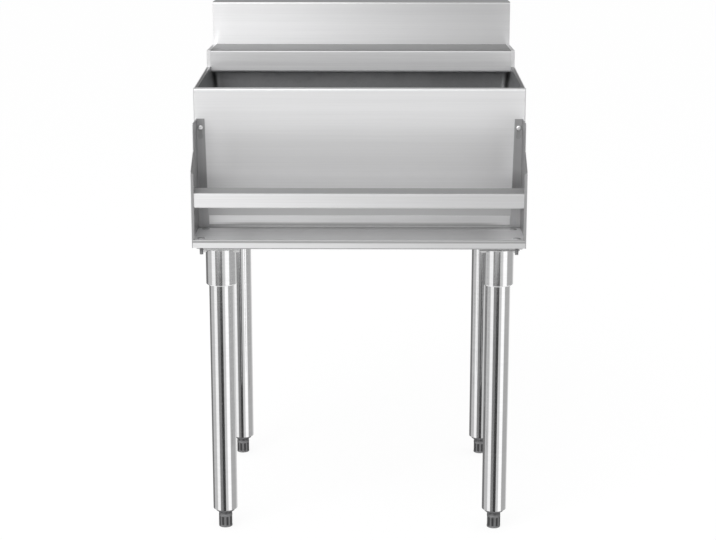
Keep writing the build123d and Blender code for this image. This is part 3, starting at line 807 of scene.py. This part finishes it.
@dataclass
class SpeedRail:
    """The bottle rail that hangs on the apron, with its fasteners.

    Losses are shares of the colour, and spans are distances in millimetres at a fade's start and full.
    """

    wardrobe: Wardrobe
    flange_loss: float = 0.45
    floor_loss: float = 0.38
    cove_loss: float = 0.58
    edge_loss: float = 0.46
    plate_loss: float = 0.25
    plate_outside_light: float = -0.55
    flange_top: Span = (8.0, 6.5)
    floor_height: float = 13.5 * MILLIMETRE
    floor_behind_lip: Span = (0.0, 0.144)
    floor_below_cove: Span = (10.0, 6.5)
    floor_shade_from_left: Span = (0.0, 90.0)
    floor_shade_from_right: Span = (0.0, 70.0)
    cove_depth: Span = (6.0, 4.0)
    cove_height: Span = (6.0, 4.0)
    lip_depth: Span = (2.4, 1.2)
    lip_under_floor: Span = (6.0, 4.5)
    plate_before_ear: Span = (1.8, 3.5)
    plate_behind_return: Span = (1.0, 3.0)
    plate_skin: Span = (0.8, 0.4)
    bolt_thread: Thread = Thread(3.0 * MILLIMETRE, 1.0 * MILLIMETRE, 0.55 * MILLIMETRE)
    bolt_tip: float = 0.6 * MILLIMETRE
    bolt_head_radius: float = 6.0 * MILLIMETRE
    bolt_edge: float = 0.6 * MILLIMETRE
    bolt_dome_rows: int = 9
    bolt_columns: int = 32
    bolt_inset_x: float = 12.5 * MILLIMETRE
    bolt_inset_front: float = 11.0 * MILLIMETRE
    bolt_inset_back: float = 16.0 * MILLIMETRE
    nut_flats: float = 10.0 * MILLIMETRE
    nut_bore: float = 3.05 * MILLIMETRE
    nut_columns: int = 24
    hanger_thread: Thread = Thread(2.5 * MILLIMETRE, 0.8 * MILLIMETRE, 0.45 * MILLIMETRE)
    hanger_tip: float = 0.5 * MILLIMETRE
    hanger_head_radius: float = 4.0 * MILLIMETRE
    hanger_head: float = 3.2 * MILLIMETRE
    hanger_round: float = 2.0 * MILLIMETRE
    hanger_round_rows: int = 7
    hanger_columns: int = 72
    recess_arm: float = 1.9 * MILLIMETRE
    recess_width: float = 1.2 * MILLIMETRE
    recess_depth: float = 1.3 * MILLIMETRE
    recess_soft: float = 0.25 * MILLIMETRE
    recess_middle: float = 0.1 * MILLIMETRE
    recess_rows: int = 14

    def dress(self) -> None:
        """Gives the rail its finishes and its detailed fasteners."""
        # Painted shade: the bar's top flange is darker.
        on_flange = Fade.near("Z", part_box("rail_front_bar")[1].z, self.flange_top, -1.0)
        self.wardrobe.dress_nodes(("rail_front_bar",), Finish.BAR, SatinShadeZone((on_flange,), self.flange_loss))
        self.dress_trough()
        self.dress_end_plates()
        self.wardrobe.dress_nodes(("rail_hanger_nuts",), Finish.FASTENER)
        places = self.bolt_places()
        self.build_floor_bolts(places)
        self.build_floor_nuts(places)
        self.build_hanger_screws()

    def floor_level(self) -> float:
        """Height of the trough's upper face."""
        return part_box("rail_trough")[0].z + self.floor_height

    def bolt_places(self) -> list[tuple[float, float]]:
        """Sets out the bolts in the trough's corners.

        Returns:
            X and Y of each bolt.
        """
        low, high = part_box("rail_trough")
        rows = (low.y + self.bolt_inset_front, high.y - self.bolt_inset_back)
        return [(x, y) for x in (low.x + self.bolt_inset_x, high.x - self.bolt_inset_x) for y in rows]

    def dress_trough(self) -> None:
        """Gives the trough its finish, with painted shade on the floor, in the cove behind it and on the
        front lip.
        """
        low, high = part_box("rail_trough")
        floor = self.floor_level()
        behind_lip = Fade.near("Y", low.y, self.floor_behind_lip)
        below_cove = Fade.near("Z", floor, self.floor_below_cove)
        satin_floor = SatinShadeZone((behind_lip, below_cove), 0.0)
        from_left = Fade.near("X", low.x, self.floor_shade_from_left)
        from_right = Fade.near("X", high.x, self.floor_shade_from_right, -1.0)
        # Painted shade on the trough's floor under the bar, left off near its ends.
        floor_shade = SatinShadeZone((behind_lip, below_cove, from_left, from_right), self.floor_loss)
        in_cove = Fade.near("Y", high.y, self.cove_depth, -1.0)
        low_cove = Fade.near("Z", floor, self.cove_height)
        # Painted shade in the cove where the floor meets the upstand.
        cove_shade = SatinShadeZone((in_cove, low_cove), self.cove_loss)
        on_lip = Fade.near("Y", low.y, self.lip_depth)
        near_top = Fade.near("Z", floor, self.lip_under_floor, -1.0)
        # Painted shade on the bend of the front lip.
        painted_shade = SatinShadeZone((on_lip, near_top), self.edge_loss)
        self.wardrobe.dress_nodes(("rail_trough",), Finish.TROUGH, satin_floor, floor_shade, cove_shade, painted_shade)

    def dress_end_plates(self) -> None:
        """Gives the end plates their finish: painted shade inside the rail and painted light on the outer
        faces.
        """
        low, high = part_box("rail_trough")
        before_ear = Fade.near("Y", high.y, self.plate_before_ear, -1.0)
        behind_return = Fade.near("Y", low.y, self.plate_behind_return)
        # Painted shade on the end plates inside the rail.
        inner_shade = SatinShadeZone((before_ear, behind_return), self.plate_loss)
        for side, inward in SIDES:
            plate = f"{side}_rail_end_plate"
            outside = Fade.near("X", outer_face(plate, inward), self.plate_skin, inward)
            # Painted light: the outer face is lighter than the rest of the plate.
            self.wardrobe.dress_nodes((plate,), Finish.RAIL_END, inner_shade, SatinShadeZone((outside,), self.plate_outside_light))

    def build_floor_bolts(self, places: Sequence[tuple[float, float]]) -> None:
        """Bolts down through the trough: eased tip, thread, and a low dome, in section a quarter ellipse.

        Args:
            places: X and Y of each bolt.
        """
        low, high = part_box("rail_floor_bolts")
        length = self.floor_level() - low.z
        rise, run = quarter_round(self.bolt_dome_rows)
        dome = high.z - low.z - length - self.bolt_edge
        head = (length + self.bolt_edge + dome * rise[:-1], self.bolt_head_radius * run[:-1])
        rim = single_ring(length, self.bolt_head_radius)
        point = single_ring(0.0, self.bolt_thread.radius - self.bolt_tip)
        shank = self.bolt_thread.section(self.bolt_tip, length, self.bolt_columns)
        rings = stacked(self.bolt_columns, [point, shank, rim, head])
        piece = ring_mesh("rail_floor_bolts_domed", set_out(rings, [(x, y, low.z) for x, y in places]))
        self.wardrobe.fit_piece(piece, Finish.SATIN, "fastener_steel", "speed_rail", "rail_floor_bolts")

    def build_floor_nuts(self, places: Sequence[tuple[float, float]]) -> None:
        """Chamfered nuts under the end plates' tabs.

        Args:
            places: X and Y of each nut.
        """
        low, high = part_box("rail_floor_nuts")
        rings = nut_rings(self.nut_flats, self.nut_bore, high.z - low.z, self.nut_columns)
        copies = set_out(rings, [(x, y, low.z) for x, y in places])
        piece = ring_mesh("rail_floor_nuts_chamfered", copies, bored=True)
        self.wardrobe.fit_piece(piece, Finish.FASTENER, "fastener_steel", "speed_rail", "rail_floor_nuts")

    def build_hanger_screws(self) -> None:
        """Screws that the ears hang on: thread, round-edged head and a cross recess.

        Inside the head's flat top the height drops by the recess depth wherever the lesser of the two
        distances from the cross's arms is under half an arm's width, with soft edges.
        """
        low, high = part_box("rail_hanger_screws")
        columns = self.hanger_columns
        length = high.y - low.y
        neck = length - self.hanger_head
        rise, run = quarter_round(self.hanger_round_rows)
        edge_radii = self.hanger_head_radius - self.hanger_round * (1.0 - run)
        edge = (length - self.hanger_round + self.hanger_round * rise, edge_radii)
        flat_edge = self.hanger_head_radius - self.hanger_round
        flat_radii = np.linspace(flat_edge, self.recess_middle, self.recess_rows)[1:, None]
        turn = np.arange(columns) * (FULL_TURN / columns)
        off_arm = flat_radii * np.minimum(np.abs(np.cos(turn)), np.abs(np.sin(turn)))
        in_arm = np.clip((self.recess_width / 2.0 - off_arm) / self.recess_soft + 0.5, 0.0, 1.0)
        in_reach = np.clip((self.recess_arm - flat_radii) / self.recess_soft, 0.0, 1.0)
        top = (length - self.recess_depth * in_arm * in_reach, np.broadcast_to(flat_radii, in_arm.shape))
        point = single_ring(0.0, self.hanger_thread.radius - self.hanger_tip)
        shank = self.hanger_thread.section(self.hanger_tip, neck, columns)
        under = single_ring(neck, self.hanger_head_radius)
        rings = stacked(columns, [point, shank, under, edge, top])
        height = (low.z + high.z) / 2.0
        ends = (low.x + self.hanger_head_radius, high.x - self.hanger_head_radius)
        copies = set_out(rings, [(x, high.y, height) for x in ends], Facing.FORWARD)
        piece = ring_mesh("rail_hanger_screws_cross", copies)
        self.wardrobe.fit_piece(piece, Finish.HANGER, "fastener_steel", "bin", "rail_hanger_screws")


@dataclass
class LegSet:
    """Four legs: socket, tube, plug and adjusting foot, with the bolts and welds that hold them.

    The flutes of each foot are turned by so many degrees from the front.
    """

    wardrobe: Wardrobe
    toe: float = 1.2 * MILLIMETRE
    toe_rows: int = 7
    flutes: int = 9
    flute_columns: int = 12
    flute_depth: float = 1.1 * MILLIMETRE
    flute_low: float = 2.4 * MILLIMETRE
    flute_high: float = 20.0 * MILLIMETRE
    flute_run: float = 2.4 * MILLIMETRE
    flute_rows: int = 9
    flute_turns: Mapping[str, float] = field(
        default_factory=lambda: dict(front_left=20.0, front_right=-12.0, rear_left=23.0, rear_right=22.0)
    )
    barrel_top: float = 21.0 * MILLIMETRE
    foot_pitch: float = 2.5 * MILLIMETRE
    foot_thread_depth: float = 1.1 * MILLIMETRE
    foot_chamfer: float = 1.5 * MILLIMETRE
    bolt_spread_x: float = 27.0 * MILLIMETRE
    bolt_spread_y: float = 17.0 * MILLIMETRE
    bolt_flats: float = 10.0 * MILLIMETRE
    bolt_head: float = 4.0 * MILLIMETRE
    bolt_tip: float = 0.6 * MILLIMETRE
    bolt_columns: int = 24
    bolt_thread: Thread = Thread(3.0 * MILLIMETRE, 1.0 * MILLIMETRE, 0.5 * MILLIMETRE, 6)
    weld_radius: float = 1.4 * MILLIMETRE
    weld_ripple: float = 0.12
    weld_ripples: int = 44
    weld_rows: int = 12
    ripple_columns: int = 8
    plate_thickness: float = 3.0 * MILLIMETRE
    cup_radius: float = 25.4 * MILLIMETRE

    def dress(self) -> None:
        """Gives every leg its finishes, its threaded foot and its weld."""
        centres = []
        for row in ("front", "rear"):
            for side, _ in SIDES:
                leg = f"{row}_{side}"
                self.wardrobe.dress_nodes((f"{leg}_leg_socket",), Finish.SOCKET)
                self.wardrobe.dress_nodes((f"{leg}_leg_tube",), Finish.TUBE)
                self.wardrobe.dress_nodes((f"{leg}_leg_plug",), Finish.PLUG)
                self.build_foot(leg)
                centres.append(self.build_weld(leg))
        self.build_bolts(centres)
        self.wardrobe.dress_nodes(("socket_nuts", "socket_set_screws"), Finish.FASTENER)

    def build_foot(self, leg: str) -> None:
        """Adjusting foot: quarter-round toe, fluted finger grip, thread and chamfered top.

        A flute is a raised cosine of the angle from its middle times the number of flutes, and runs out at
        both ends along a quarter sine. How hollow each point is, from 0 to 1, is kept with the mesh, for
        the painted shade in it.

        Args:
            leg: which leg it stands under.
        """
        low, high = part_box(f"{leg}_foot")
        columns = self.flute_columns * self.flutes
        radius = (high.x - low.x) / 2.0
        length = high.z - low.z
        rise, run = quarter_round(self.toe_rows)
        toe = (self.toe * (1.0 - run), radius - self.toe * (1.0 - rise))
        up = np.linspace(0.0, 1.0, self.flute_rows)
        run_in = self.flute_low + self.flute_run * up
        run_out = self.flute_high - self.flute_run * up[::-1]
        ease = np.sin(math.pi / 2.0 * np.concatenate([up, up[::-1]]))
        front = -math.pi / 2.0 + math.radians(self.flute_turns[leg])
        turn = np.arange(columns) * (FULL_TURN / columns)
        hollow = ease[:, None] * 0.5 * (1.0 + np.cos(self.flutes * (turn - front)))
        grip = (np.concatenate([run_in, run_out]), radius - self.flute_depth * hollow)
        thread = Thread(radius, self.foot_pitch, self.foot_thread_depth)
        screw = thread.section(self.barrel_top, length - self.foot_chamfer, columns)
        rings = stacked(columns, [toe, grip, screw, single_ring(length, radius - self.foot_chamfer)])
        place = (low.x + radius, low.y + radius, low.z)
        piece = ring_mesh(f"{leg}_foot_threaded", set_out(rings, [place]))
        hollowness = np.zeros(len(piece.data.vertices))
        hollowness[len(rise) * columns:][:hollow.size] = hollow.ravel()
        piece.data.attributes.new(HOLLOW, "FLOAT", "POINT").data.foreach_set("value", hollowness)
        self.wardrobe.fit_piece(piece, Finish.FOOT, "foot_steel", f"{leg}_foot", f"{leg}_foot")

    def build_weld(self, leg: str) -> tuple[float, float]:
        """Weld bead round the top of a socket cup: a ring of circles whose radius ripples along the seam.

        Args:
            leg: which leg it belongs to.

        Returns:
            X and Y of the leg.
        """
        low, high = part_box(f"{leg}_leg_socket")
        centre = ((low.x + high.x) / 2.0, (low.y + high.y) / 2.0)
        columns = self.ripple_columns * self.weld_ripples
        round_bead = np.linspace(0.0, FULL_TURN, self.weld_rows, endpoint=False)[:, None]
        swell = np.abs(np.cos(np.pi * self.weld_ripples * np.arange(columns) / columns))
        bead = self.weld_radius * (1.0 - self.weld_ripple + self.weld_ripple * swell)
        section = (bead * np.sin(round_bead), self.cup_radius + bead * np.cos(round_bead))
        place = (*centre, high.z - self.plate_thickness)
        piece = ring_mesh(f"{leg}_socket_weld", set_out(stacked(columns, [section]), [place]), bored=True)
        self.wardrobe.fit_piece(piece, Finish.FASTENER, "socket_steel", "bin")
        return centre

    def build_bolts(self, centres: Sequence[tuple[float, float]]) -> None:
        """Hexagon bolts up through the socket plates: chamfered heads below and threaded shanks.

        Args:
            centres: X and Y of each leg.
        """
        low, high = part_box("socket_bolts")
        columns = self.bolt_columns
        length = high.z - low.z
        head = chamfered_hexagon(self.bolt_flats, 0.0, self.bolt_head, columns, both=False)
        shank = self.bolt_thread.section(self.bolt_head, length - self.bolt_tip, columns)
        end = single_ring(length, self.bolt_thread.radius - self.bolt_tip)
        rings = stacked(columns, [head, shank, end])
        places = [
            (x + i * self.bolt_spread_x, y + j * self.bolt_spread_y, low.z)
            for x, y in centres
            for i in (-1, 1)
            for j in (-1, 1)
        ]
        piece = ring_mesh("socket_bolts_hexagon", set_out(rings, places))
        self.wardrobe.fit_piece(piece, Finish.FASTENER, "fastener_steel", "bin", "socket_bolts")


class Level(Enum):
    """How high a studio card hangs, as the lowest and highest direction to it from the bin, in degrees."""

    BELOW = (-95.0, -34.0)
    FLOOR = (-34.0, -11.4)
    BAND = (-11.4, 3.0)
    SIDE = (-36.0, 3.0)
    HIGH = (3.0, 70.0)
    TOP = (70.0, 95.0)


@dataclass(frozen=True)
class StudioCard:
    """A soft box or grey card round the bin, as the directions that it fills, in degrees.

    Azimuth is 0 towards the camera and grows to the right. The tone is what polished steel sees there, and
    the blur is how wide the card's left and right edges are.
    """

    left: float
    right: float
    level: Level
    tone: float
    blur: float = 5.0

    def mask(self, graph: Graph, azimuth: Wire, elevation: Wire, level_blur: float) -> Wire:
        """Where the card is, from 0 to 1.

        Args:
            graph: the world's nodes.
            azimuth: direction round the bin, in degrees.
            elevation: direction up from the floor, in degrees.
            level_blur: how high the card's lower and upper edges are, in degrees.

        Returns:
            The product of a smooth step in at the left and lower edges and out at the right and upper ones.
        """
        side = self.blur / 2.0
        rim = level_blur / 2.0
        low, high = self.level.value
        inside = graph.ramp(azimuth, self.left - side, self.left + side)
        inside = inside * (1.0 - graph.ramp(azimuth, self.right - side, self.right + side))
        inside = inside * graph.ramp(elevation, low - rim, low + rim)
        return inside * (1.0 - graph.ramp(elevation, high - rim, high + rim))


@dataclass
class Studio:
    """Camera, pale floor, white cove with its cards, and one large soft box.

    A later card covers an earlier one. The legs see the cards below the band, and the skins those from the
    band up.
    """

    camera_place: tuple[float, float, float] = (0.0241, -2.920, 1.0761)
    camera_pitch: float = -12.64
    camera_yaw: float = 0.553
    lens: float = 85.2
    floor_half: float = 40.0
    floor_colour: Colour = (0.86, 0.86, 0.86)
    floor_glow: float = 0.80
    floor_strength: float = 1.08
    ambient: float = 0.75
    key_place: tuple[float, float, float] = (-1.2, -2.45, 2.8)
    key_aim: tuple[float, float, float] = (0.0, 0.0, 0.6)
    key_size: float = 2.6
    key_power: float = 38.0
    level_blur: float = 1.0
    cards: tuple[StudioCard, ...] = (
        StudioCard(-200.0, -88.0, Level.HIGH, 0.40),
        StudioCard(88.0, 200.0, Level.HIGH, 0.40),
        StudioCard(-88.0, 0.0, Level.HIGH, 1.15, 10.0),
        StudioCard(0.0, 88.0, Level.HIGH, 0.75, 10.0),
        StudioCard(-200.0, 200.0, Level.TOP, 0.35),
        StudioCard(-90.0, 0.0, Level.BELOW, 0.95, 10.0),
        StudioCard(0.0, 90.0, Level.BELOW, 1.00, 10.0),
        StudioCard(-13.0, 0.0, Level.BAND, 1.50, 10.0),
        StudioCard(0.0, 30.0, Level.BAND, 0.60, 10.0),
        StudioCard(-200.0, -114.0, Level.SIDE, 0.19),
        StudioCard(-114.0, -71.0, Level.SIDE, 0.54),
        StudioCard(-71.0, -40.0, Level.SIDE, 0.98),
        StudioCard(-40.0, -30.0, Level.SIDE, 0.20),
        StudioCard(-30.0, -16.0, Level.FLOOR, 0.20),
        StudioCard(-16.0, 13.0, Level.FLOOR, 0.05),
        StudioCard(13.0, 35.0, Level.FLOOR, 0.61),
        StudioCard(35.0, 68.0, Level.SIDE, 1.12),
        StudioCard(68.0, 135.0, Level.SIDE, 0.43),
        StudioCard(135.0, 200.0, Level.SIDE, 0.65),
    )

    def build(self) -> None:
        """Sets up everything round the bin."""
        self.set_camera()
        self.set_floor()
        self.set_world()
        self.set_key()
        bpy.context.scene.view_settings.view_transform = "Standard"

    def set_camera(self) -> None:
        """Stands the camera in front of the bin, a little above it."""
        data = bpy.data.cameras.new("camera")
        data.lens = self.lens
        camera = bpy.data.objects.new("camera", data)
        camera.location = self.camera_place
        camera.rotation_euler = (math.radians(90.0 + self.camera_pitch), 0.0, math.radians(self.camera_yaw))
        bpy.context.collection.objects.link(camera)
        bpy.context.scene.camera = camera

    def set_floor(self) -> None:
        """Lays the floor: it glows white where it is looked at and keeps the bin's soft shadow."""
        half = self.floor_half
        corners = [(-half, -half, 0.0), (half, -half, 0.0), (half, half, 0.0), (-half, half, 0.0)]
        mesh = bpy.data.meshes.new("studio_floor")
        mesh.from_pydata(corners, [], [(0, 1, 2, 3)])
        floor = bpy.data.objects.new("studio_floor", mesh)
        bpy.context.collection.objects.link(floor)
        material = bpy.data.materials.new("studio_floor")
        material.use_nodes = True
        graph = Graph(material.node_tree)
        seen = self.seen_directly(graph)
        paint = graph.add("ShaderNodeBsdfDiffuse", None, {"Color": (*self.floor_colour, 1.0)})
        glow = graph.add("ShaderNodeEmission", None, {"Color": WHITE, "Strength": self.floor_strength})
        lit = graph.add("ShaderNodeMixShader", None, {0: seen * self.floor_glow, 1: paint, 2: glow})
        graph.add("ShaderNodeOutputMaterial", None, {"Surface": lit})
        mesh.materials.append(material)
        floor.visible_glossy = False

    def seen_directly(self, graph: Graph) -> Wire:
        """Tells what is looked at from what only gives light.

        Args:
            graph: the nodes that ask.

        Returns:
            1 for a ray that comes from the camera, off metal or through glass, and 0 for other light.
        """
        kinds = ("Is Camera Ray", "Is Glossy Ray", "Is Transmission Ray")
        rays = [graph.add("ShaderNodeLightPath", out=kind) for kind in kinds]
        return graph.ramp(rays[0] + rays[1] + rays[2], 0.0, 1.0)

    def set_world(self) -> None:
        """Makes the white cove. Steel also sees the cards in it, other surfaces only an even light."""
        world = bpy.data.worlds.new("studio_cove")
        world.use_nodes = True
        bpy.context.scene.world = world
        graph = Graph(world.node_tree)
        direction = graph.add("ShaderNodeTexCoord", out="Generated")
        axes = [graph.add("ShaderNodeSeparateXYZ", None, {0: direction}, out=axis) for axis in "XYZ"]
        degrees = 180.0 / math.pi
        azimuth = graph.maths("ARCTAN2", axes[0], -axes[1]) * degrees
        elevation = graph.maths("ARCSINE", axes[2]) * degrees
        tone: Term = 1.0
        for card in self.cards:
            inside = card.mask(graph, azimuth, elevation, self.level_blur)
            tone = tone + inside * (card.tone - tone)
        to_camera = graph.add("ShaderNodeLightPath", out="Is Camera Ray")
        reflected = to_camera + (1.0 - to_camera) * tone
        seen = self.seen_directly(graph)
        strength = seen * reflected + (1.0 - seen) * self.ambient
        sky = graph.add("ShaderNodeBackground", None, {"Color": WHITE, "Strength": strength})
        graph.add("ShaderNodeOutputWorld", None, {"Surface": sky})
        world.cycles.sampling_method = "NONE"

    def set_key(self) -> None:
        """Hangs one large soft box high in front, to the left."""
        data = bpy.data.lights.new("key_soft_box", "AREA")
        data.shape = "SQUARE"
        data.size = self.key_size
        data.energy = self.key_power
        key = bpy.data.objects.new("key_soft_box", data)
        aim = Vector(self.key_aim) - Vector(self.key_place)
        key.location = self.key_place
        key.rotation_euler = aim.to_track_quat("-Z", "Y").to_euler()
        bpy.context.collection.objects.link(key)


def main() -> None:
    """Builds and dresses each sub-assembly in turn, then the studio."""
    logging.basicConfig(level=logging.INFO, format="%(message)s")
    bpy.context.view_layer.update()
    wardrobe = Wardrobe()
    for assembly in (BinBody(wardrobe), IceWell(wardrobe), SpeedRail(wardrobe), LegSet(wardrobe)):
        assembly.dress()
    Studio().build()


if __name__ == "__main__":
    main()
